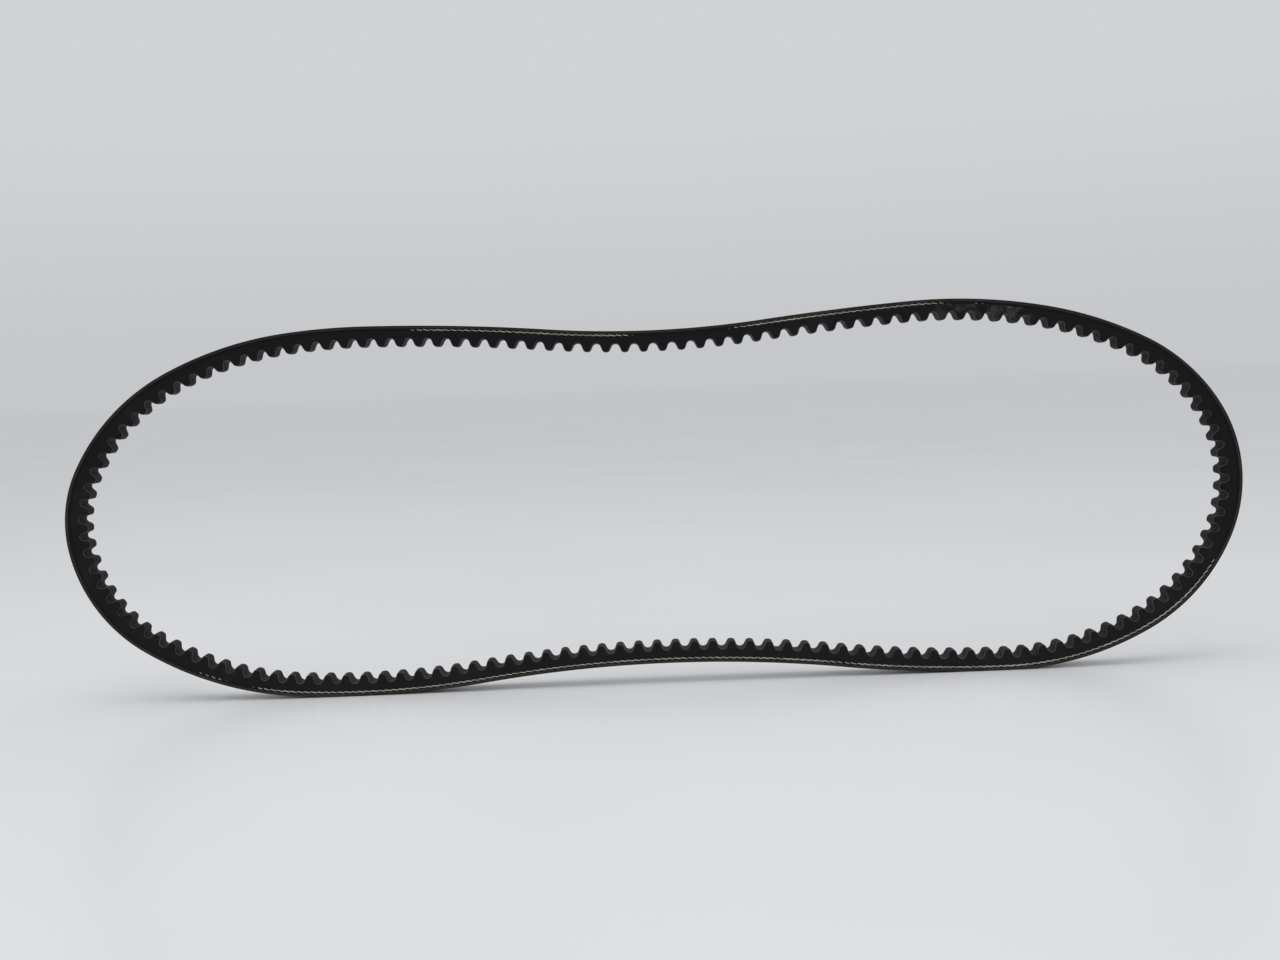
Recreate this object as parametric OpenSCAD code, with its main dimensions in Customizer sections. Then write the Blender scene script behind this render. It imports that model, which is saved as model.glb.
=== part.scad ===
// Raw-edge cogged V belt, 13 x 9 section, standing open as a relaxed loop.
// The loop stands in the XZ plane with the pulley axes along Y, and rests on two low humps.
// Its layers are bonded pieces, listed from the flat back to the cog tips.

/* [Section] */
// Width across the flat back
top_w = 13; // [12.8:0.1:13.2]
// Height from the flat back to the cog tips
belt_h = 9; // [8.9:0.1:9.3]
// Angle between the two flanks
flank_angle = 40; // [38:1:42]

/* [Layers] */
// Thickness of each ply of backing fabric
ply_t = 0.4; // [0.35:0.05:0.45]
// Thickness of the gum between the backing and the cord layer
overcord_t = 0.35; // [0.3:0.05:0.4]
// Thickness of the gum that the cord is bedded in
cushion_t = 1.1; // [1.1:0.05:1.2]
// Diameter of the tensile cord
cord_d = 1; // [0.9:0.05:1]
// Distance between neighbouring turns of cord
cord_step = 1.3; // [1.28:0.01:1.31]
// Turns of cord across the belt
cord_turns = 9; // [7:1:9]
// Thickness of the fabric that faces the cogs
facing_t = 0.3; // [0.25:0.05:0.35]

/* [Cogs] */
// Number of cogs round the loop
cog_count = 145; // [141:2:147]
// Depth of a notch from the cog tips
cog_depth = 3.6; // [3.4:0.1:3.7]
// Lean of a notch wall away from the belt's normal
cog_lean = 22; // [20:1:24]
// Radius of the notch root
root_r = 1.9; // [1.8:0.1:2]
// Radius of the rounded cog tips
tip_r = 1.5; // [1.4:0.1:1.6]

/* [Hidden] */

// The loop of the cord line, anticlockwise from the low hump on the right, as tangent arcs:
// radius and turn in degrees. A negative turn bends the belt backwards.
ARCS = [
    [550, 9], [130, 28], [80, 38], [62, 56], [79, 30], [160, 16], [230, 15], [1200, 3],
    [450, -12],
    [900, 5], [280, 7], [155, 20], [90, 36], [54, 38], [67, 47], [140, 29], [400, 25]
];
// Radius of the backward bend at the bottom, which closes the loop between its two neighbours
CLOSING_R = -600;

// Depths below the flat back
backing_end = 2 * ply_t;
cushion_top = backing_end + overcord_t;
cushion_end = cushion_top + cushion_t;
cord_depth = cushion_top + cushion_t / 2;
lean = tan(flank_angle / 2);

// The first and the last arc keep only the part of their turn that the closing arc leaves
last = len(ARCS) - 1;
count = last + 2;

function unit(a) = [sin(a), -cos(a)];
function radius(i) = i > last ? CLOSING_R : ARCS[i][0] * sign(ARCS[i][1]);
function heading(i) = i == 0 ? 0 : heading(i - 1) + ARCS[i - 1][1];
function centre(i) =
    i == 0 ? [0, radius(0)] : centre(i - 1) + (radius(i - 1) - radius(i)) * unit(heading(i));

// Centre of the closing arc, from its distance to the centres of the last and the first arc
gap = centre(0) - centre(last);
reach_a = abs(radius(last) - CLOSING_R);
reach_b = abs(radius(0) - CLOSING_R);
along = (reach_a ^ 2 - reach_b ^ 2 + gap * gap) / (2 * norm(gap));
aside = sqrt(reach_a ^ 2 - along ^ 2);
closing_centre = centre(last) + (along * gap + aside * [gap[1], -gap[0]]) / norm(gap);

// Headings where the closing arc meets its neighbours, both near a full turn
function facing_angle(v) = atan2(v[0], -v[1]);
close_start = facing_angle(closing_centre - centre(last)) + 360;
close_end = facing_angle(closing_centre - centre(0)) + 360;
function start_h(i) = i == 0 ? close_end - 360 : i > last ? close_start : heading(i);
function end_h(i) = i < last ? heading(i + 1) : i == last ? close_start : close_end;
function loose_centre(i) = i > last ? closing_centre : centre(i);

// The loop is turned until its two low humps are level, then centred on its own box
hump_line = loose_centre(0) - loose_centre(last);
level = asin((radius(0) - radius(last)) / norm(hump_line)) - atan2(hump_line[1], hump_line[0]);
function turned(p) = [p[0] * cos(level) - p[1] * sin(level), p[0] * sin(level) + p[1] * cos(level)];
function spans(i, a) = start_h(i) + level <= a && a <= end_h(i) + level;
function extreme(a) =
    max([for (i = [0 : last], k = [0, 360]) if (spans(i, a + k))
        turned(loose_centre(i)) * unit(a) + radius(i)]) + cord_depth;
shift = [extreme(270) - extreme(90), extreme(0) - extreme(180)] / 2;
CENTRES = [for (i = [0 : last + 1]) turned(loose_centre(i)) + shift];
STARTS = [for (i = [0 : last + 1]) start_h(i) + level];
TURNS = [for (i = [0 : last + 1]) end_h(i) - start_h(i)];
LENGTHS = [for (i = [0 : last + 1]) TURNS[i] * radius(i) * PI / 180];
function travelled(i) = i == 0 ? 0 : travelled(i - 1) + LENGTHS[i - 1];
TRAVEL = [for (i = [0 : count]) travelled(i)];
pitch = TRAVEL[count] / cog_count;

function on_arc(i, h) = CENTRES[i] + radius(i) * unit(h);
function arc_at(s) = max([for (i = [0 : last + 1]) if (TRAVEL[i] <= s) i]);

// Every cut between two arcs is one shared plane that reaches this far to each side
WEDGE = 20;
// How far the flanks are cut past the layers that they belong to
PAST = 0.5;
// Distance from the flank to the middle of the first turn of cord, less than the cord's radius
CORD_INSET = 0.32;
// Facets of the cord, of the curves of a notch, and the facet length of the loop's arcs
CORD_FACETS = 24;
NOTCH_FACETS = 48;
ARC_FACET = 3.14;

function arc_facets(i) = 8 * ceil(2 * PI * abs(radius(i)) / ARC_FACET / 8);

// A point rounded to a thousandth, so that the pieces on both sides of a cut share it exactly
function tidy(p) = [round(p[0] * 1000) / 1000, round(p[1] * 1000) / 1000];

// Moves its children in three steps, each finer than the last, so that no digits are lost
module placed(p) {
    coarse = [round(p[0]), round(p[1])];
    fine = tidy(p - coarse);
    translate(coarse)
        translate(fine)
            translate(p - coarse - fine)
                children();
}

// Stands the loop up: what is drawn in XY, with the width along Z, goes to XZ, with it along -Y
module upright() rotate([90, 0, 0]) children();

// Half the belt's width at a depth below the back
function half_w(t) = top_w / 2 - t * lean;

// Cross-section of a layer between two depths, with the cord line at x = 0 and the back at +x
module slice(t0, t1)
    polygon([
        [cord_depth - t0, half_w(t0)],
        [cord_depth - t0, -half_w(t0)],
        [cord_depth - t1, -half_w(t1)],
        [cord_depth - t1, half_w(t1)]
    ]);

// Turns of cord, cut off flush where the first one breaks out through the flank
module cord_turns_2d()
    for (k = [0 : cord_turns - 1])
        translate([0, half_w(cord_depth) - CORD_INSET - k * cord_step])
            circle(d = cord_d, $fn = CORD_FACETS);

// The part of the plane that belongs to one arc. Neighbours share the line where they meet.
module wedge(i) {
    a = STARTS[i];
    b = a + TURNS[i];
    polygon([
        tidy(on_arc(i, a) + WEDGE * unit(a)),
        tidy(on_arc(i, b) + WEDGE * unit(b)),
        tidy(on_arc(i, b) - WEDGE * unit(b)),
        tidy(on_arc(i, a) - WEDGE * unit(a))
    ]);
}

// Sweeps a cross-section round the whole loop, as rings cut off where the arcs meet
module sweep()
    for (i = [0 : last + 1])
        intersection() {
            placed(CENTRES[i])
                rotate_extrude($fn = arc_facets(i))
                    translate([abs(radius(i)), 0])
                        mirror([radius(i) < 0 ? 1 : 0, 0])
                            children();
            linear_extrude(2 * top_w, center = true)
                wedge(i);
        }

// Outline of one notch, grown into the rubber by g. The cord line is at y = 0, the cogs at +y,
// and bend is the curvature of the cord line there.
module notch_outline(g, bend) {
    tip_y = belt_h - cord_depth;
    root_y = tip_y - cog_depth + root_r;
    wall = [cos(cog_lean), -sin(cog_lean)];
    // The tip circles stand a little proud, so that they cross the tips at a clear angle
    proud = 0.08;
    // Half the distance between two cog tips, roughly, over which a bend lifts or lowers the tips
    crown_x = 3.5;
    crown_y = tip_y + bend * crown_x ^ 2 / 2 + proud - tip_r;
    tip_x = (root_r + tip_r + (crown_y - root_y) * sin(cog_lean)) / cos(cog_lean);
    // The straight walls reach this far into both circles, so that they cross them cleanly
    inset = 0.03;
    foot = [0, root_y] + (root_r + g - inset) * wall;
    knee = [tip_x, crown_y] - (tip_r - g + inset) * wall;
    // Past the cog tips in any bend
    mouth = belt_h + 2;
    translate([0, root_y])
        circle(r = root_r + g, $fn = NOTCH_FACETS);
    difference() {
        polygon([
            [-foot[0], foot[1]], foot, knee, [tip_x, crown_y], [tip_x, mouth],
            [-tip_x, mouth], [-tip_x, crown_y], [-knee[0], knee[1]]
        ]);
        for (side = [-1, 1])
            translate([side * tip_x, crown_y])
                circle(r = tip_r - g, $fn = NOTCH_FACETS);
    }
}

// All the notches, evenly spaced along the cord line
module notches(g)
    for (k = [0 : cog_count - 1]) {
        s = (k + 0.5) * pitch;
        i = arc_at(s);
        h = STARTS[i] + (s - TRAVEL[i]) / radius(i) * 180 / PI;
        translate(on_arc(i, h))
            rotate(h)
                notch_outline(g, 1 / radius(i));
    }

// Side view of the belt between two depths
module side_view(t0, t1)
    for (i = [0 : last + 1]) {
        reaches = [abs(radius(i) + cord_depth - t0), abs(radius(i) + cord_depth - t1)];
        intersection() {
            placed(CENTRES[i])
                difference() {
                    circle(r = max(reaches), $fn = arc_facets(i));
                    circle(r = min(reaches), $fn = arc_facets(i));
                }
            wedge(i);
        }
    }

// Cuts the flanks of what is drawn in side view, to the depths of the cogs and a little past them
module between_flanks()
    intersection() {
        linear_extrude(2 * top_w, center = true)
            children();
        sweep() slice(cushion_end - PAST, belt_h + PAST);
    }

module backing_outer_ply()
    color([0.13, 0.13, 0.12])
        upright()
            sweep() slice(0, ply_t);

module backing_inner_ply()
    color([0.17, 0.17, 0.15])
        upright()
            sweep() slice(ply_t, backing_end);

module overcord_gum()
    color([0.15, 0.16, 0.14])
        upright()
            sweep() slice(backing_end, cushion_top);

module upper_cushion_gum()
    color([0.10, 0.10, 0.10])
        upright()
            sweep()
                difference() {
                    slice(cushion_top, cord_depth);
                    cord_turns_2d();
                }

module tensile_cord()
    color([0.80, 0.78, 0.70])
        upright()
            sweep()
                intersection() {
                    slice(cushion_top, cushion_end);
                    cord_turns_2d();
                }

module lower_cushion_gum()
    color([0.10, 0.10, 0.10])
        upright()
            sweep()
                difference() {
                    slice(cord_depth, cushion_end);
                    cord_turns_2d();
                }

module undercord_rubber()
    color([0.08, 0.08, 0.09])
        upright()
            between_flanks()
                difference() {
                    side_view(cushion_end, belt_h - facing_t);
                    notches(facing_t);
                }

// The facing lines the notches and joins across the cog tips
module cog_facing()
    color([0.20, 0.20, 0.21])
        upright()
            between_flanks()
                difference() {
                    union() {
                        side_view(belt_h - facing_t, belt_h);
                        intersection() {
                            side_view(cushion_end, belt_h);
                            notches(facing_t);
                        }
                    }
                    notches(0);
                }

backing_outer_ply();
backing_inner_ply();
overcord_gum();
upper_cushion_gum();
tensile_cord();
lower_cushion_gum();
undercord_rubber();
cog_facing();
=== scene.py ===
"""Looks of a raw-edge cogged V belt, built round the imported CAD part.

The belt is a loop in the XZ plane. Every point of it is given by three belt coordinates:
s, the distance along the cord line; t, the depth below the flat back; and v, the place across
the width, positive towards the camera. Loop.world() turns them into the row frame, in metres.
"""

import math
import random

import bpy
import numpy as np
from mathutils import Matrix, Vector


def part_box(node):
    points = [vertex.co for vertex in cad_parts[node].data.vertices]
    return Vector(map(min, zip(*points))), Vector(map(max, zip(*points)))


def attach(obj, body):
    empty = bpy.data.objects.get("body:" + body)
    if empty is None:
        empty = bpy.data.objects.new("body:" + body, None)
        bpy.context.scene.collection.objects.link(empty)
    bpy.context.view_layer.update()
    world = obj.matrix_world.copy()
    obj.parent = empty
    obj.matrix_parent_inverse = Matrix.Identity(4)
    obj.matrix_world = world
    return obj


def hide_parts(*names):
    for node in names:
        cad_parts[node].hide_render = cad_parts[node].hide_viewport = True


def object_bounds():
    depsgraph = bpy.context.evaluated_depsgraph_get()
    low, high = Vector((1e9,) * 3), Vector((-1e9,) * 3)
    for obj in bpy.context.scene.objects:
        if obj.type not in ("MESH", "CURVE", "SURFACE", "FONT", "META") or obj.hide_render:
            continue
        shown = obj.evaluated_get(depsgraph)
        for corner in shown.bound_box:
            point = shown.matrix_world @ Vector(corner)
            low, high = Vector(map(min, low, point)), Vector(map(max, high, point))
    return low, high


MM = 0.001

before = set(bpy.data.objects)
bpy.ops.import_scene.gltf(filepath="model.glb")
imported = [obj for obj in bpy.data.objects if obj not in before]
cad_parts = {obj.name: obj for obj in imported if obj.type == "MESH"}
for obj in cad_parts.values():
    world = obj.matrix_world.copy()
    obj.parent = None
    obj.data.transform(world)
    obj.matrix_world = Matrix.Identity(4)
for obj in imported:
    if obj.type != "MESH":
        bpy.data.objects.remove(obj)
CAD_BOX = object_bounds()

# ---------------------------------------------------------------- driving dimensions, as in CAD
# Tangent arcs of the cord line, anticlockwise from the low hump on the right: radius in mm and
# turn in degrees. A negative turn bends backwards, and one more backward bend closes the loop.
ARCS = (
    (550, 9), (130, 28), (80, 38), (62, 56), (79, 30), (160, 16), (230, 15), (1200, 3),
    (450, -12),
    (900, 5), (280, 7), (155, 20), (90, 36), (54, 38), (67, 47), (140, 29), (400, 25),
)
CLOSING_R = -600 * MM

BACK_W = 13 * MM
BELT_H = 9 * MM
FLANK_SLOPE = math.tan(math.radians(20))
PLY_T = 0.4 * MM
OVERCORD_END = 1.15 * MM
CORD_DEPTH = 1.7 * MM
CUSHION_END = 2.25 * MM
COGS = 145
COG_DEPTH = 3.6 * MM
COG_LEAN = math.radians(22)
ROOT_R = 1.9 * MM
TIP_R = 1.5 * MM
FACING_T = 0.3 * MM
# The back lies this far inside the CAD back, whose facets cut inside the true curve
SINK = 0.03 * MM
# Bevel of the back's two edges
BACK_EDGE_R = 0.08 * MM
# How far the inner ply stands out of the flank, and the tension gum beside it is set back
LEDGE = 0.02 * MM
# Distance between the rows of points of a plain layer
ROW_STEP = 2.0 * MM
# Steps along the rounded tip and round the root of a cog's outline
TIP_STEPS = 7
ROOT_STEPS = 9


# ---------------------------------------------------------------- the loop
def side_on(heading):
    """Unit vectors to the right of a heading in radians: the outside of the loop."""
    return np.stack([np.sin(heading), -np.cos(heading)], axis=-1)


def late_heading(way):
    """The heading whose outside points along way, one full turn on."""
    return math.atan2(way[0], -way[1]) + math.tau


class Loop:
    """The cord line as tangent arcs, and the belt coordinates that go with it."""

    def __init__(self):
        self.radius = np.array([math.copysign(r, turn) for r, turn in ARCS] + [CLOSING_R / MM]) * MM
        turns = np.radians([turn for r, turn in ARCS])
        starts = np.concatenate([[0], np.cumsum(turns)])
        centres = [np.array([0, self.radius[0]])]
        for i in range(1, len(ARCS)):
            step = self.radius[i - 1] - self.radius[i]
            centres.append(centres[-1] + step * side_on(starts[i]))
        centres.append(self.closing_centre(centres[-1], centres[0]))
        # The last arc ends early and the first starts late, where the closing arc meets them
        ends = starts.copy()
        ends[:-1] = starts[1:]
        starts[-1] = ends[-2] = late_heading(centres[-1] - centres[-2])
        ends[-1] = late_heading(centres[-1] - centres[0])
        starts[0] = ends[-1] - math.tau
        # The loop is turned until it stands level on the two low humps
        line = centres[0] - centres[-2]
        level = math.asin((self.radius[0] - self.radius[-2]) / np.hypot(*line))
        level -= math.atan2(line[1], line[0])
        spin = np.array([[math.cos(level), -math.sin(level)], [math.sin(level), math.cos(level)]])
        self.centre = np.array(centres) @ spin.T
        self.start = starts + level
        self.travel = np.concatenate([[0], np.cumsum((ends - starts) * self.radius)])
        self.length = self.travel[-1]
        self.centre += self.shift_into_box()

    def closing_centre(self, a, b):
        """Centre of the closing arc, which touches the last arc, about a, and the first, about b."""
        reach_a = abs(self.radius[-2] - CLOSING_R)
        reach_b = abs(self.radius[0] - CLOSING_R)
        gap = b - a
        far = np.hypot(*gap)
        along = (reach_a**2 - reach_b**2 + far**2) / (2 * far)
        aside = math.sqrt(reach_a**2 - along**2)
        return a + (along * gap + aside * np.array([gap[1], -gap[0]])) / far

    def shift_into_box(self):
        """The move that puts the back of the loop in the middle of the CAD back."""
        samples = 20000
        back = self.plane(np.linspace(0, self.length, samples), 0)
        low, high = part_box("backing_outer_ply")
        middle = np.array([low.x + high.x, low.z + high.z]) / 2
        return middle - (back.min(0) + back.max(0)) / 2

    def arc(self, s):
        """Index of the arc at s, and the heading there."""
        s = np.mod(s, self.length)
        i = np.clip(np.searchsorted(self.travel, s, side="right") - 1, 0, len(self.radius) - 1)
        return i, self.start[i] + (s - self.travel[i]) / self.radius[i]

    def plane(self, s, t):
        """(x, z) at a distance s along the cord line and a depth t below the back."""
        i, heading = self.arc(s)
        reach = (self.radius[i] + CORD_DEPTH - t)[..., None]
        return self.centre[i] + reach * side_on(heading)

    def world(self, s, t, v):
        """Points in the row frame."""
        xz = self.plane(s, t)
        return np.stack([xz[..., 0], -v + 0 * xz[..., 0], xz[..., 1]], axis=-1)

    def bend(self, s):
        """Curvature of the cord line at s, negative where it bends backwards."""
        return 1 / self.radius[self.arc(s)[0]]

    def ring(self, s, across):
        """Texture coordinates that run round the loop with no seam."""
        turn = math.tau * s / self.length
        r = self.length / math.tau
        return np.stack([r * np.cos(turn), r * np.sin(turn), across + 0 * s], axis=-1)


LOOP = Loop()
PITCH = LOOP.length / COGS


def half_width(t):
    """Half the width of the belt at a depth t below the back."""
    return BACK_W / 2 - t * FLANK_SLOPE


# ---------------------------------------------------------------- mesh making
def make_piece(name, co, faces, uv, ring, extra=None):
    """A mesh object from vertices, quads as vertex indices, and per-vertex texture data."""
    mesh = bpy.data.meshes.new(name)
    mesh.from_pydata(co.tolist(), [], faces.tolist())
    mesh.polygons.foreach_set("use_smooth", np.ones(len(faces), bool))
    layer = mesh.uv_layers.new(name="belt")
    corners = uv[faces]
    # A face that crosses the start of the loop takes the long value of s on its far side
    wraps = np.ptp(corners[..., 0], axis=1) > LOOP.length / 2
    late = corners[wraps]
    late[..., 0] += np.where(late[..., 0] < LOOP.length / 2, LOOP.length, 0)
    corners[wraps] = late
    layer.data.foreach_set("uv", corners.reshape(-1))
    made = mesh.attributes.new("ring", "FLOAT_VECTOR", "POINT")
    made.data.foreach_set("vector", ring.astype(np.float32).reshape(-1))
    for key, values in (extra or {}).items():
        made = mesh.attributes.new(key, "FLOAT", "POINT")
        made.data.foreach_set("value", values.astype(np.float32))
    mesh.update()
    piece = bpy.data.objects.new(name, mesh)
    bpy.context.scene.collection.objects.link(piece)
    return piece


def tube_faces(rows, cols):
    """Quads of a grid of rows x cols vertices whose ends meet both ways."""
    a, c = np.meshgrid(np.arange(rows), np.arange(cols), indexing="ij")
    b, d = (a + 1) % rows, (c + 1) % cols
    return np.stack([a * cols + c, a * cols + d, b * cols + d, b * cols + c], -1).reshape(-1, 4)


def flipped(faces):
    """The same quads, cut along the same diagonal, looking the other way."""
    return faces[:, [0, 3, 2, 1]]


def finish_piece(piece, material, slot, *nodes):
    """Gives a piece its material, crisp edges and place in the frame."""
    piece.data.materials.append(material)
    # Edges that turn more than this stay crisp under smooth shading
    piece.data.set_sharp_from_angle(angle=math.radians(35))
    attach(piece, "root")
    if nodes:
        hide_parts(*nodes)


# ---------------------------------------------------------------- layers with a constant section
def band_section(t0, t1, proud, edge_r, across):
    """Closed section of a layer: (t, v) from one flank over the outside to the other and back.
    proud pushes the flanks out, edge_r bevels the outer corners, and across is the number of
    strips on the outside."""
    w0, w1 = half_width(t0) + proud, half_width(t1) + proud
    under = 4
    top = [(t0, -w0 + edge_r + k * 2 * (w0 - edge_r) / across) for k in range(across + 1)]
    if edge_r:
        top = [(t0 + edge_r, -w0)] + top + [(t0 + edge_r, w0)]
    return np.array(top + [(t1, w1 - 2 * w1 * k / under) for k in range(under + 1)])


def band(name, t0, t1, proud=0.0, edge_r=0.0, across=6):
    """A layer swept round the loop."""
    section = band_section(t0, t1, proud, edge_r, across)
    rows = int(LOOP.length / ROW_STEP)
    s = np.arange(rows) * LOOP.length / rows
    cols = len(section)
    ss = np.repeat(s, cols)
    tv = np.tile(section, (rows, 1))
    girth = np.concatenate([[0], np.cumsum(np.hypot(*np.diff(section, axis=0).T))])
    co = LOOP.world(ss, tv[:, 0], tv[:, 1])
    uv = np.stack([ss, tv[:, 1]], -1)
    faces = flipped(tube_faces(rows, cols))
    return make_piece(name, co, faces, uv, LOOP.ring(ss, np.tile(girth, rows)))


# ---------------------------------------------------------------- cogs
def half_cog(grow):
    """Half a cog's outline from its tip to the root of the notch beside it, as (x, t), with x
    from the cog's middle, and each point's x on the unbent belt. grow moves it into the rubber."""
    wall = np.array([math.cos(COG_LEAN), math.sin(COG_LEAN)])
    tip_t = BELT_H - TIP_R
    root_t = BELT_H - COG_DEPTH + ROOT_R
    spread = (ROOT_R + TIP_R - (root_t - tip_t) * math.sin(COG_LEAN)) / math.cos(COG_LEAN)
    tip_x = PITCH / 2 - spread
    lean = math.pi / 2 - COG_LEAN
    points = [(0.0, BELT_H - grow)]
    for k in range(TIP_STEPS + 1):
        a = lean * k / TIP_STEPS
        points.append((tip_x + (TIP_R - grow) * math.sin(a), tip_t + (TIP_R - grow) * math.cos(a)))
    for k in range(1, ROOT_STEPS + 1):
        a = lean * (1 - k / ROOT_STEPS)
        root_r = ROOT_R + grow
        points.append((PITCH / 2 - root_r * math.sin(a), root_t - root_r * math.cos(a)))
    return np.array(points)


def cog_outline(grow):
    """One whole pitch, from notch root to notch root. The last point belongs to the next cog."""
    half = half_cog(grow)
    left = half[::-1] * (-1, 1)
    return np.concatenate([left, half[1:-1]])


def round_loop(outline):
    """The outline repeated for every cog, as s and t. Cogs keep their width in a bend, and the
    notches between them open or close, as rubber cogs on a bent belt do."""
    cols = len(outline)
    middle = np.repeat(np.arange(COGS) * PITCH, cols)
    x, t = np.tile(outline, (COGS, 1)).T
    squeeze = 1 - LOOP.bend(middle) * (t - CORD_DEPTH)
    foot = TIP_STEPS + 1
    foot_x, foot_t = half_cog(0)[foot]
    foot_squeeze = 1 - LOOP.bend(middle) * (foot_t - CORD_DEPTH)
    on_cog = np.abs(x) <= foot_x
    open_to = (PITCH / 2 - foot_x / foot_squeeze) / (PITCH / 2 - foot_x)
    bent = np.where(on_cog, np.abs(x) / squeeze, PITCH / 2 - (PITCH / 2 - np.abs(x)) * open_to)
    return np.mod(middle + np.sign(x) * bent, LOOP.length), t


def cog_facing():
    """The thin moulded facing over cogs and notches, a closed strip as wide as the belt there."""
    outer_s, outer_t = round_loop(cog_outline(0))
    inner_s, inner_t = round_loop(cog_outline(FACING_T))
    rows = len(outer_s)
    across = 8
    # How far the cut edge stands out of the flank, and how much the outer corner is softened
    lip = 0.03 * MM
    soft = 0.12 * MM
    columns = []
    spots = [-1 + 2 * k / across for k in range(across + 1)]
    for k in spots:
        edge = abs(k) == 1
        t = outer_t - (soft if edge else 0)
        v = k * (half_width(outer_t) + (lip if edge else -soft))
        columns.append((outer_s, t, v))
    for k in reversed(spots):
        v = k * (half_width(inner_t) + (lip if abs(k) == 1 else 0))
        columns.append((inner_s, inner_t, v))
    s, t, v = (np.stack([c[n] for c in columns], 1).reshape(-1) for n in range(3))
    # 0 at a notch root and 1 at a cog tip
    height = (t - (BELT_H - COG_DEPTH)) / COG_DEPTH
    # 1 where the facing is cut through at the flanks
    cut = np.tile([float(abs(v) == 1) for v in spots + spots[::-1]], rows)
    # Wound round a slightly larger circle the deeper it lies, so that no two depths look alike
    ring = LOOP.ring(s, v)
    ring[:, :2] *= (1 + t / LOOP.length * math.tau)[:, None]
    faces = tube_faces(rows, len(columns))
    co, uv = LOOP.world(s, t, v), np.stack([s, v], -1)
    return make_piece("cog_facing_moulded", co, faces, uv, ring, {"height": height, "cut": cut})


def undercord():
    """The compression rubber inside the facing, with its cut flanks."""
    outline = cog_outline(FACING_T)
    top_s, top_t = round_loop(outline)
    base_s = np.repeat(np.arange(COGS) * PITCH, len(outline)) + np.tile(outline[:, 0], COGS)
    top_s = base_s + (top_s - base_s + LOOP.length / 2) % LOOP.length - LOOP.length / 2
    layers = 5
    columns = []
    for side in (-1, 1):
        steps = [k / layers for k in range(layers + 1)]
        for f in steps if side < 0 else reversed(steps):
            # s eases over to the outline's own spacing, so that the rows stay clear of each other
            s = base_s + (top_s - base_s) * f
            t = CUSHION_END + (top_t - CUSHION_END) * f
            columns.append((np.mod(s, LOOP.length), t, side * half_width(t)))
    s, t, v = (np.stack([c[n] for c in columns], 1).reshape(-1) for n in range(3))
    uv = np.stack([s, v], -1)
    faces = tube_faces(len(top_s), len(columns))
    return make_piece("undercord_body", LOOP.world(s, t, v), faces, uv, LOOP.ring(s, t))


# ---------------------------------------------------------------- cord
# Where the cut has opened the cord, as shares of the loop from the low hump on the right, and
# how far it is opened there
OPEN_NEAR = (
    (0.0, 0.152, 1), (0.300, 0.322, 0.5), (0.322, 0.402, 1), (0.44, 0.522, 1),
    (0.755, 0.773, 0.7), (0.779, 1.0, 1),
)
OPEN_FAR = ((0.05, 0.33, 1), (0.47, 0.81, 1))
# Half the stretch over which the cord comes out or goes under, as a share of the loop
FADE = 0.012
# Distance from the flank to the cord's middle where the cord shows and where it is buried
OPEN_DEPTH = 0.34 * MM
SHUT_DEPTH = 0.66 * MM
# How far the cord wanders sideways and in depth, and how far its cut face may stand out
SIDE_WANDER = 0.05 * MM
DEPTH_WANDER = 0.04 * MM
CUT_PROUD = 0.07 * MM
# Distance between the rows of points along the cord
CORD_STEP = 0.55 * MM


def openness(share, spans):
    """0 where the cord is buried and 1 where the cut has opened it, with soft ends."""
    best = np.zeros_like(share)
    for a, b, strength in spans:
        for turn in (-1, 0, 1):
            x = share + turn
            rise = np.clip((x - a + FADE) / (2 * FADE), 0, 1)
            fall = np.clip((b + FADE - x) / (2 * FADE), 0, 1)
            best = np.maximum(best, strength * np.minimum(rise, fall))
    return best * best * (3 - 2 * best)


def wander(share, seed, size):
    """A slow wobble that has no seam: sine waves of a few lengths, each a whole number of times
    round the loop, started at random."""
    rng = random.Random(seed)
    out = 0
    for waves in (3, 7, 13, 29, 61):
        out = out + math.sqrt(3 / waves) * np.sin(math.tau * (waves * share + rng.random()))
    return size * out / 2


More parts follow.
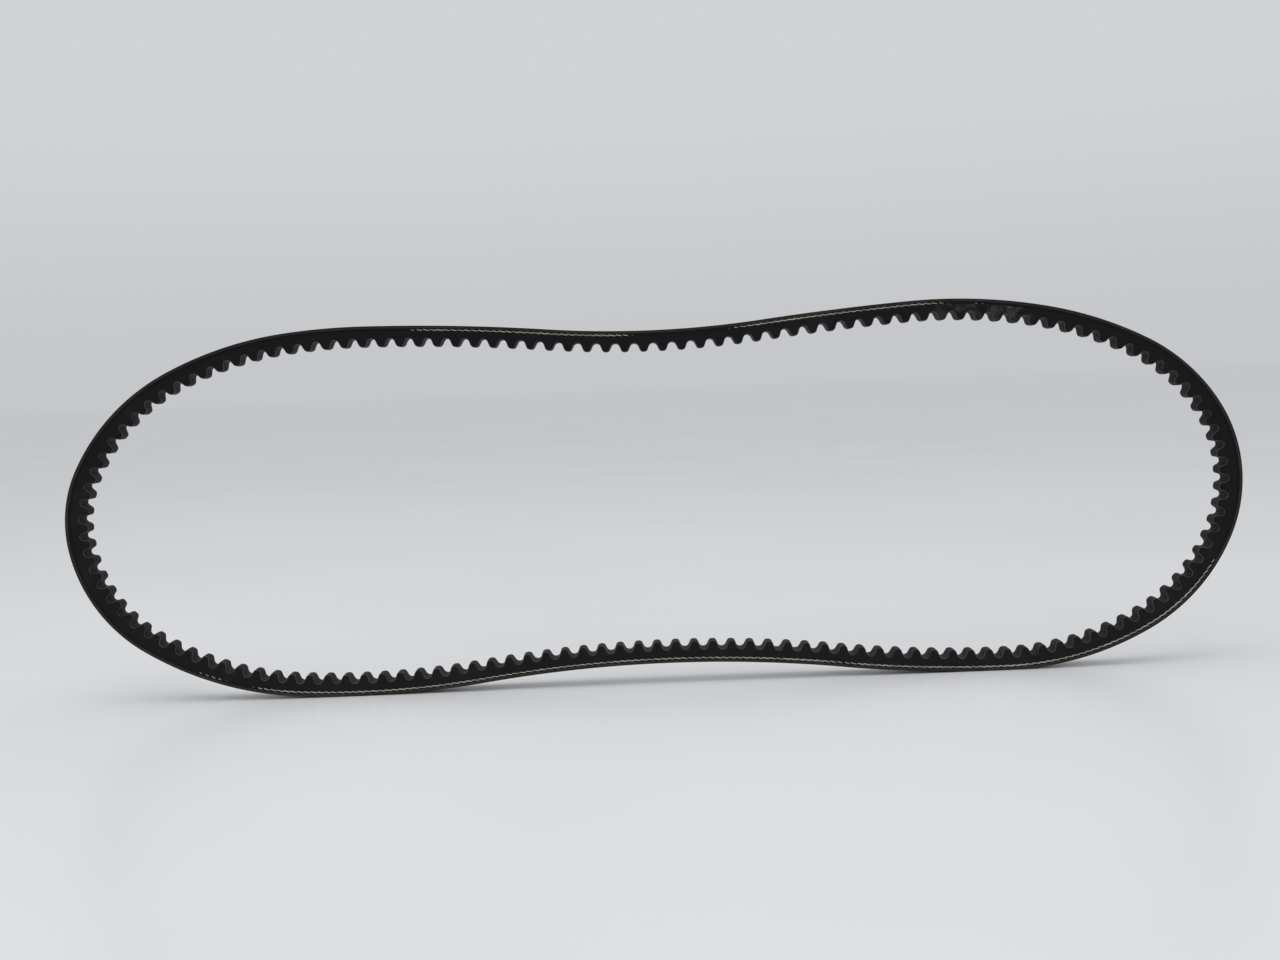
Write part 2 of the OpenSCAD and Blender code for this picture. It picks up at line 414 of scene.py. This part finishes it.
def cord_turn(name, side, spans, seed):
    """The outermost turn of cord on one flank: three twisted plies, cut flush with the flank."""
    plies = 3
    lead = 9.0 * MM
    ply_r = 0.27 * MM
    coil_r = 0.26 * MM
    sides = 7
    rows = int(LOOP.length / CORD_STEP)
    # A whole number of turns, and of plies, so that the twist closes on itself
    turns = round(LOOP.length / lead / plies) * plies
    s = np.arange(rows) * LOOP.length / rows
    share = s / LOOP.length
    shown = openness(share, spans)
    inset = SHUT_DEPTH + (OPEN_DEPTH - SHUT_DEPTH) * shown + wander(share, seed, SIDE_WANDER)
    middle_v = half_width(CORD_DEPTH) - inset / math.cos(math.atan(FLANK_SLOPE))
    middle_t = CORD_DEPTH + wander(share, seed + 1, DEPTH_WANDER)
    tube = tube_faces(rows, sides)
    if side < 0:
        tube = flipped(tube)
    cos, faces, uvs, rings, strand = [], [], [], [], []
    for ply in range(plies):
        twist = math.tau * (turns * share + ply / plies)
        ply_t = middle_t + coil_r * np.cos(twist)
        ply_v = middle_v + coil_r * np.sin(twist)
        a = math.tau * np.arange(sides) / sides
        t = (ply_t[:, None] + ply_r * np.cos(a)[None]).reshape(-1)
        v = (ply_v[:, None] + ply_r * np.sin(a)[None]).reshape(-1)
        v = np.minimum(v, half_width(t) + CUT_PROUD)
        ss = np.repeat(s, sides)
        faces.append(tube + len(faces) * rows * sides)
        cos.append(LOOP.world(ss, t, side * v))
        uvs.append(np.stack([ss, np.tile(a, rows) * ply_r], -1))
        rings.append(LOOP.ring(ss, v))
        strand.append(np.full(len(ss), ply / plies))
    return make_piece(
        name, np.concatenate(cos), np.concatenate(faces), np.concatenate(uvs), np.concatenate(rings),
        {"strand": np.concatenate(strand)},
    )


# ---------------------------------------------------------------- material nodes
# Places of the colour sockets on a Mix node, whose names repeat for each kind of value
MIX_A, MIX_B, MIX_RESULT = 6, 7, 2


class Nodes:
    """Short calls for building one material's node tree."""

    def __init__(self, name):
        self.material = bpy.data.materials.new(name)
        self.material.use_nodes = True
        self.tree = self.material.node_tree
        self.shader = self.tree.nodes["Principled BSDF"]
        self.object = self.tree.nodes.new("ShaderNodeTexCoord").outputs["Object"]

    def put(self, socket, value):
        if isinstance(value, bpy.types.NodeSocket):
            self.tree.links.new(value, socket)
        elif isinstance(value, (tuple, list)) and len(value) == 3 and socket.type == "RGBA":
            socket.default_value = (*value, 1)
        else:
            socket.default_value = value

    def attribute(self, name, output="Fac"):
        node = self.tree.nodes.new("ShaderNodeAttribute")
        node.attribute_name = name
        return node.outputs[output]

    def uv(self):
        node = self.tree.nodes.new("ShaderNodeUVMap")
        node.uv_map = "belt"
        return node.outputs["UV"]

    def scaled(self, vector, scale):
        node = self.tree.nodes.new("ShaderNodeMapping")
        self.put(node.inputs["Vector"], vector)
        node.inputs["Scale"].default_value = scale
        return node.outputs["Vector"]

    def split(self, vector):
        node = self.tree.nodes.new("ShaderNodeSeparateXYZ")
        self.put(node.inputs[0], vector)
        return node.outputs

    def noise(self, vector, scale, detail=3.0, rough=0.55):
        node = self.tree.nodes.new("ShaderNodeTexNoise")
        self.put(node.inputs["Vector"], vector)
        node.inputs["Scale"].default_value = scale
        node.inputs["Detail"].default_value = detail
        node.inputs["Roughness"].default_value = rough
        return node.outputs["Fac"]

    def cells(self, vector, scale):
        """Distance to the nearest of many scattered points."""
        node = self.tree.nodes.new("ShaderNodeTexVoronoi")
        self.put(node.inputs["Vector"], vector)
        node.inputs["Scale"].default_value = scale
        return node.outputs["Distance"]

    def math(self, operation, a, b=0.0, clamp=False):
        node = self.tree.nodes.new("ShaderNodeMath")
        node.operation = operation
        node.use_clamp = clamp
        self.put(node.inputs[0], a)
        self.put(node.inputs[1], b)
        return node.outputs[0]

    def span(self, value, low, high, to_low=0.0, to_high=1.0):
        """value mapped from low..high to to_low..to_high, held at both ends, with a soft step."""
        node = self.tree.nodes.new("ShaderNodeMapRange")
        node.interpolation_type = "SMOOTHSTEP"
        self.put(node.inputs["Value"], value)
        node.inputs["From Min"].default_value = low
        node.inputs["From Max"].default_value = high
        node.inputs["To Min"].default_value = to_low
        node.inputs["To Max"].default_value = to_high
        return node.outputs["Result"]

    def mix(self, factor, a, b):
        node = self.tree.nodes.new("ShaderNodeMix")
        node.data_type = "RGBA"
        self.put(node.inputs["Factor"], factor)
        self.put(node.inputs[MIX_A], a)
        self.put(node.inputs[MIX_B], b)
        return node.outputs[MIX_RESULT]

    def bump(self, height, depth, strength=1.0, normal=None):
        node = self.tree.nodes.new("ShaderNodeBump")
        self.put(node.inputs["Height"], height)
        node.inputs["Distance"].default_value = depth
        node.inputs["Strength"].default_value = strength
        if normal is not None:
            self.put(node.inputs["Normal"], normal)
        return node.outputs["Normal"]

    def finish(self, color, roughness, normal=None, **constants):
        self.put(self.shader.inputs["Base Color"], color)
        self.put(self.shader.inputs["Roughness"], roughness)
        if normal is not None:
            self.put(self.shader.inputs["Normal"], normal)
        for key, value in constants.items():
            self.put(self.shader.inputs[key.replace("_", " ").title().replace("Ior", "IOR")], value)
        return self.material


# A noise's scale is in repeats per metre. These three are shared by every cut face.
DRAG_SCALE = 4200
MOTTLE_SCALE = 260
GRAIN_SCALE = 2600
# How far the drag lines are drawn out along the belt
DRAG_STRETCH = 0.03
FIBRE_END = (0.06, 0.058, 0.05)
SCUFF_GREY = (0.15, 0.16, 0.175)
# Where the near flank is scuffed, and its brightest spot, in metres round the loop
SCUFF_FROM = 0.338
SCUFF_TO = 0.392
SCUFF_SPOT = 0.3535


def cut_rubber(name, dark, light, dust, dust_amount, specks=True, scuffed=False):
    """Rubber with a knife-cut face: drag lines along the belt, fibre ends, and a little dust."""
    n = Nodes(name)
    ring = n.attribute("ring", "Vector")
    drag = n.noise(n.scaled(ring, (DRAG_STRETCH, DRAG_STRETCH, 1)), DRAG_SCALE, 4, 0.6)
    mottle = n.noise(n.object, MOTTLE_SCALE, 4, 0.6)
    fine = n.noise(n.object, GRAIN_SCALE, 3, 0.65)
    both = n.math("MULTIPLY", n.math("ADD", drag, mottle), 0.5)
    color = n.mix(n.span(both, 0.35, 0.65), dark, light)
    if specks:
        pick = n.span(n.noise(n.object, 900, 2), 0.56, 0.66)
        spot = n.math("MULTIPLY", n.span(n.cells(n.object, 1500), 0.28, 0.12), pick)
        color = n.mix(n.math("MULTIPLY", spot, 0.4), color, FIBRE_END)
    cloud = n.span(n.noise(n.object, 38, 4, 0.6), 0.5, 0.78, 0.0, dust_amount)
    color = n.mix(n.math("MULTIPLY", cloud, n.span(fine, 0.35, 0.7)), color, dust)
    if scuffed:
        color = n.mix(scuff(n, fine), color, SCUFF_GREY)
    rough = n.span(mottle, 0.3, 0.7, 0.62, 0.85)
    normal = n.bump(drag, 0.05 * MM, 0.5)
    normal = n.bump(fine, 0.04 * MM, 0.6, normal)
    return n.finish(color, rough, normal, specular_ior_level=0.14)


def scuff(n, fine):
    """How strongly the near flank is scuffed: a thin smear, and one bright spot in it. v is
    positive on the near flank only, and largest beside the back."""
    s, v, _ = n.split(n.uv())
    begins = n.span(s, SCUFF_FROM, SCUFF_FROM + 0.012)
    ends = n.span(s, SCUFF_TO, SCUFF_TO - 0.02)
    patch = n.span(n.noise(n.object, 210, 4, 0.65), 0.42, 0.72)
    smear = n.math("MULTIPLY", n.math("MULTIPLY", begins, ends), patch)
    smear = n.math("MULTIPLY", smear, n.span(v, 0.0, 0.001, 0.0, 0.34))
    away = n.math("ABSOLUTE", n.math("SUBTRACT", s, SCUFF_SPOT))
    broken = n.span(n.noise(n.object, 700, 3), 0.4, 0.62)
    spot = n.math("MULTIPLY", n.span(away, 0.0042, 0.0008), broken)
    spot = n.math("MULTIPLY", spot, n.span(v, 0.0046, 0.0052, 0.0, 0.55))
    marks = n.math("ADD", smear, spot)
    return n.math("MULTIPLY", marks, n.span(fine, 0.25, 0.6, 0.4, 1.0), clamp=True)


def flank_material():
    dark, light, dust = (0.0032, 0.0036, 0.0042), (0.0085, 0.0092, 0.0105), (0.05, 0.05, 0.045)
    return cut_rubber("flank_rubber", dark, light, dust, 0.25, scuffed=True)


def gum_material():
    dark, light, dust = (0.016, 0.016, 0.0115), (0.038, 0.0375, 0.028), (0.08, 0.078, 0.06)
    return cut_rubber("overcord_gum", dark, light, dust, 0.3)


def cushion_material():
    dark, light, dust = (0.0022, 0.0022, 0.0022), (0.0055, 0.0055, 0.005), (0.04, 0.04, 0.035)
    return cut_rubber("cushion_gum", dark, light, dust, 0.15, specks=False)


# Both sets of threads in the weave lie at this angle to the belt's length, this far apart
WEAVE_ANGLE = math.radians(60)
THREAD = 0.55 * MM
WORN_CLOTH = (0.04, 0.04, 0.033)


def weave(n):
    """Height of a bias-laid plain weave that runs round the loop with no seam."""
    u, v, _ = n.split(n.uv())
    waves = round(LOOP.length * math.sin(WEAVE_ANGLE) / THREAD)
    along = n.math("MULTIPLY", u, math.tau * waves / LOOP.length)
    across = n.math("MULTIPLY", v, math.tau * math.cos(WEAVE_ANGLE) / THREAD)
    a = n.math("SINE", n.math("ADD", along, across))
    b = n.math("SINE", n.math("SUBTRACT", along, across))
    # Threads of the two sets cross over and under each other in turn
    over = n.math("SINE", n.math("MULTIPLY", n.math("ADD", along, across), 0.5))
    under = n.math("SINE", n.math("MULTIPLY", n.math("SUBTRACT", along, across), 0.5))
    checker = n.math("MULTIPLY", over, under)
    warp = n.math("MULTIPLY", n.math("ABSOLUTE", a), n.span(checker, -0.4, 0.4))
    weft = n.math("MULTIPLY", n.math("ABSOLUTE", b), n.span(checker, 0.4, -0.4))
    return n.math("MAXIMUM", warp, weft)


def fabric_material(name, dark, light):
    """Rubberised canvas: threads just showing under a thin skin of rubber, worn paler on top."""
    n = Nodes(name)
    cloth = weave(n)
    worn = n.span(n.noise(n.object, 70, 5, 0.6), 0.42, 0.7)
    fine = n.noise(n.object, 3200, 3, 0.6)
    color = n.mix(n.math("MULTIPLY", cloth, n.span(worn, 0, 1, 0.35, 1.0)), dark, light)
    color = n.mix(n.math("MULTIPLY", worn, 0.25), color, WORN_CLOTH)
    rough = n.span(fine, 0.3, 0.7, 0.62, 0.85)
    normal = n.bump(cloth, 0.07 * MM, 0.8)
    normal = n.bump(fine, 0.03 * MM, 0.5, normal)
    shine = {"sheen_weight": 0.04, "sheen_roughness": 0.5, "specular_ior_level": 0.2}
    return n.finish(color, rough, normal, **shine)


FACING_DARK, FACING_LIGHT = (0.003, 0.0034, 0.004), (0.009, 0.0095, 0.0108)
# Colour of the painted highlight on the cog tips
FACING_TIP_HIGHLIGHT = (0.03, 0.029, 0.026)
FACING_CUT = (0.085, 0.076, 0.058)
RUST = (0.05, 0.027, 0.018)


def facing_material():
    """Dark moulded facing, with a painted highlight on the cog tips, paler where it is cut through
    at the flanks, with rusty dust in some of the roots."""
    n = Nodes("cog_facing")
    height = n.attribute("height")
    fine = n.noise(n.object, 2400, 4, 0.6)
    cloud = n.noise(n.object, 120, 4, 0.6)
    knit = n.noise(n.scaled(n.attribute("ring", "Vector"), (1, 1, 0.12)), 3000, 3, 0.6)
    both = n.math("MULTIPLY", n.math("ADD", cloud, knit), 0.5)
    color = n.mix(n.span(both, 0.38, 0.62), FACING_DARK, FACING_LIGHT)
    # Painted highlight: the cog tips are painted paler in patches, standing in for the light that falls
    # on them
    worn = n.math("MULTIPLY", n.span(height, 0.6, 1.0), n.span(cloud, 0.35, 0.65, 0.25, 1.0))
    color = n.mix(n.math("MULTIPLY", worn, 0.3), color, FACING_TIP_HIGHLIGHT)
    rust = n.math("MULTIPLY", n.span(height, 0.5, 0.1), n.span(n.noise(n.object, 28, 2), 0.5, 0.62))
    color = n.mix(n.math("MULTIPLY", rust, n.span(fine, 0.35, 0.65, 0.1, 0.5)), color, RUST)
    cut = n.math("MULTIPLY", n.span(n.attribute("cut"), 0.75, 1.0), n.span(cloud, 0.3, 0.6, 0.35, 0.95))
    color = n.mix(cut, color, FACING_CUT)
    rough = n.span(fine, 0.3, 0.7, 0.5, 0.7)
    normal = n.bump(knit, 0.05 * MM, 0.4)
    normal = n.bump(fine, 0.03 * MM, 0.5, normal)
    return n.finish(color, rough, normal, specular_ior_level=0.12)


CORD_DARK, CORD_PALE = (0.3, 0.29, 0.245), (0.54, 0.525, 0.46)
CORD_SHADE = (0.2, 0.19, 0.16)
CORD_SOIL = (0.06, 0.058, 0.05)


def cord_material():
    """Twisted polyester, soiled in places by the rubber it was cut out of."""
    n = Nodes("tensile_cord")
    strand = n.attribute("strand")
    fibres = n.noise(n.scaled(n.attribute("ring", "Vector"), (0.35, 0.35, 1)), 9000, 2, 0.6)
    soil = n.span(n.noise(n.object, 300, 4, 0.6), 0.38, 0.66)
    color = n.mix(fibres, CORD_DARK, CORD_PALE)
    color = n.mix(n.math("MULTIPLY", strand, 0.25), color, CORD_SHADE)
    color = n.mix(n.math("MULTIPLY", soil, 0.55), color, CORD_SOIL)
    normal = n.bump(fibres, 0.05 * MM, 0.8)
    return n.finish(color, 0.85, normal, sheen_weight=0.1, specular_ior_level=0.3)


# ---------------------------------------------------------------- the belt
def build_belt():
    flank = flank_material()
    gum = gum_material()
    cushion = cushion_material()
    back = fabric_material("backing_fabric", (0.004, 0.0045, 0.004), (0.017, 0.017, 0.014))
    inner = fabric_material("inner_ply_fabric", (0.012, 0.0115, 0.0085), (0.036, 0.034, 0.026))
    facing = facing_material()
    cord = cord_material()
    plies_end = 2 * PLY_T
    # Piece, depths where it begins and ends, how far it stands out, material, slot and node
    layers = (
        ("backing_inner_fabric", PLY_T, plies_end, LEDGE, inner, "inner_ply_fabric", "backing_inner_ply"),
        ("overcord_band", plies_end, OVERCORD_END, -LEDGE, gum, "overcord", "overcord_gum"),
        ("cushion_upper_band", OVERCORD_END, CORD_DEPTH, 0, cushion, "cushion", "upper_cushion_gum"),
        ("cushion_lower_band", CORD_DEPTH, CUSHION_END, 0, cushion, "cushion", "lower_cushion_gum"),
    )
    outer = band("backing_outer_fabric", SINK, PLY_T, edge_r=BACK_EDGE_R, across=10)
    finish_piece(outer, back, "backing_fabric", "backing_outer_ply")
    for name, begins, ends, proud, material, slot, node in layers:
        finish_piece(band(name, begins, ends, proud), material, slot, node)
    finish_piece(undercord(), flank, "undercord", "undercord_rubber")
    finish_piece(cog_facing(), facing, "facing_fabric", "cog_facing")
    near = cord_turn("cord_turn_near", 1, OPEN_NEAR, seed=5)
    far = cord_turn("cord_turn_far", -1, OPEN_FAR, seed=11)
    finish_piece(near, cord, "cord", "tensile_cord")
    finish_piece(far, cord, "cord")


# ---------------------------------------------------------------- stage
FLOOR_SIZE = 60
FLOOR_TONES = (0.77, 0.775, 0.785), (0.80, 0.805, 0.815)
FLOOR_ROUGHNESS = 0.33


def build_floor():
    low = CAD_BOX[0]
    bpy.ops.mesh.primitive_plane_add(size=FLOOR_SIZE, location=(0, 0, low[2]))
    floor = bpy.context.object
    floor.name = "floor"
    n = Nodes("floor_paper")
    tone = n.span(n.noise(n.object, 3, 3), 0.3, 0.7)
    floor.data.materials.append(n.finish(n.mix(tone, *FLOOR_TONES), FLOOR_ROUGHNESS))


# Name, place and width in metres, power in watts, and colour of each light
SOFTBOXES = (
    ("softbox_top", (-0.3, -0.5, 1.5), 1.4, 9, (1, 0.99, 0.97)),
    ("softbox_front", (0.5, -1.6, 0.7), 1.0, 3, (0.96, 0.98, 1)),
)


def area_light(name, place, size, power, color):
    """A square soft light that faces the middle of the belt."""
    data = bpy.data.lights.new(name, "AREA")
    data.size = size
    data.energy = power
    data.color = color
    lamp = bpy.data.objects.new(name, data)
    bpy.context.scene.collection.objects.link(lamp)
    lamp.location = place
    aim = Vector((0, 0, 0)) - lamp.location
    lamp.rotation_euler = aim.to_track_quat("-Z", "Y").to_euler()


# The sky's tone overhead and at the horizon, and the height on a unit sphere where it is all SKY
SKY = (0.64, 0.65, 0.665)
HORIZON = (0.56, 0.57, 0.59)
SKY_RISE = 0.22


def build_light():
    world = bpy.data.worlds.new("studio")
    bpy.context.scene.world = world
    world.use_nodes = True
    tree = world.node_tree
    sky = tree.nodes["Background"]
    # The sky meets the floor at the floor's own tone, and brightens above it
    way = tree.nodes.new("ShaderNodeTexCoord")
    split = tree.nodes.new("ShaderNodeSeparateXYZ")
    rise = tree.nodes.new("ShaderNodeMapRange")
    rise.interpolation_type = "SMOOTHSTEP"
    rise.inputs["From Min"].default_value = 0.0
    rise.inputs["From Max"].default_value = SKY_RISE
    blend = tree.nodes.new("ShaderNodeMix")
    blend.data_type = "RGBA"
    blend.inputs[MIX_A].default_value = (*HORIZON, 1)
    blend.inputs[MIX_B].default_value = (*SKY, 1)
    tree.links.new(way.outputs["Generated"], split.inputs[0])
    tree.links.new(split.outputs["Z"], rise.inputs["Value"])
    tree.links.new(rise.outputs["Result"], blend.inputs["Factor"])
    tree.links.new(blend.outputs[MIX_RESULT], sky.inputs["Color"])
    for softbox in SOFTBOXES:
        area_light(*softbox)


# Focal length and sensor in mm, distance and aim in metres
LENS = 38.7
SENSOR = 36
CAM_FAR = 0.603
CAM_ABOVE = math.radians(4.0)
CAM_ROLL = math.radians(2.3)
AIM = (-0.0056, 0, 0.0081)


def build_camera():
    data = bpy.data.cameras.new("camera")
    data.lens = LENS
    data.sensor_width = SENSOR
    data.clip_start = 0.01
    camera = bpy.data.objects.new("camera", data)
    bpy.context.scene.collection.objects.link(camera)
    camera.location = (
        AIM[0], AIM[1] - CAM_FAR * math.cos(CAM_ABOVE), AIM[2] + CAM_FAR * math.sin(CAM_ABOVE)
    )
    turn = Matrix.Rotation(math.pi / 2 - CAM_ABOVE, 4, "X") @ Matrix.Rotation(-CAM_ROLL, 4, "Z")
    camera.rotation_euler = turn.to_euler()
    bpy.context.scene.camera = camera


build_belt()
build_floor()
build_light()
build_camera()
bpy.context.scene.view_settings.view_transform = "Standard"
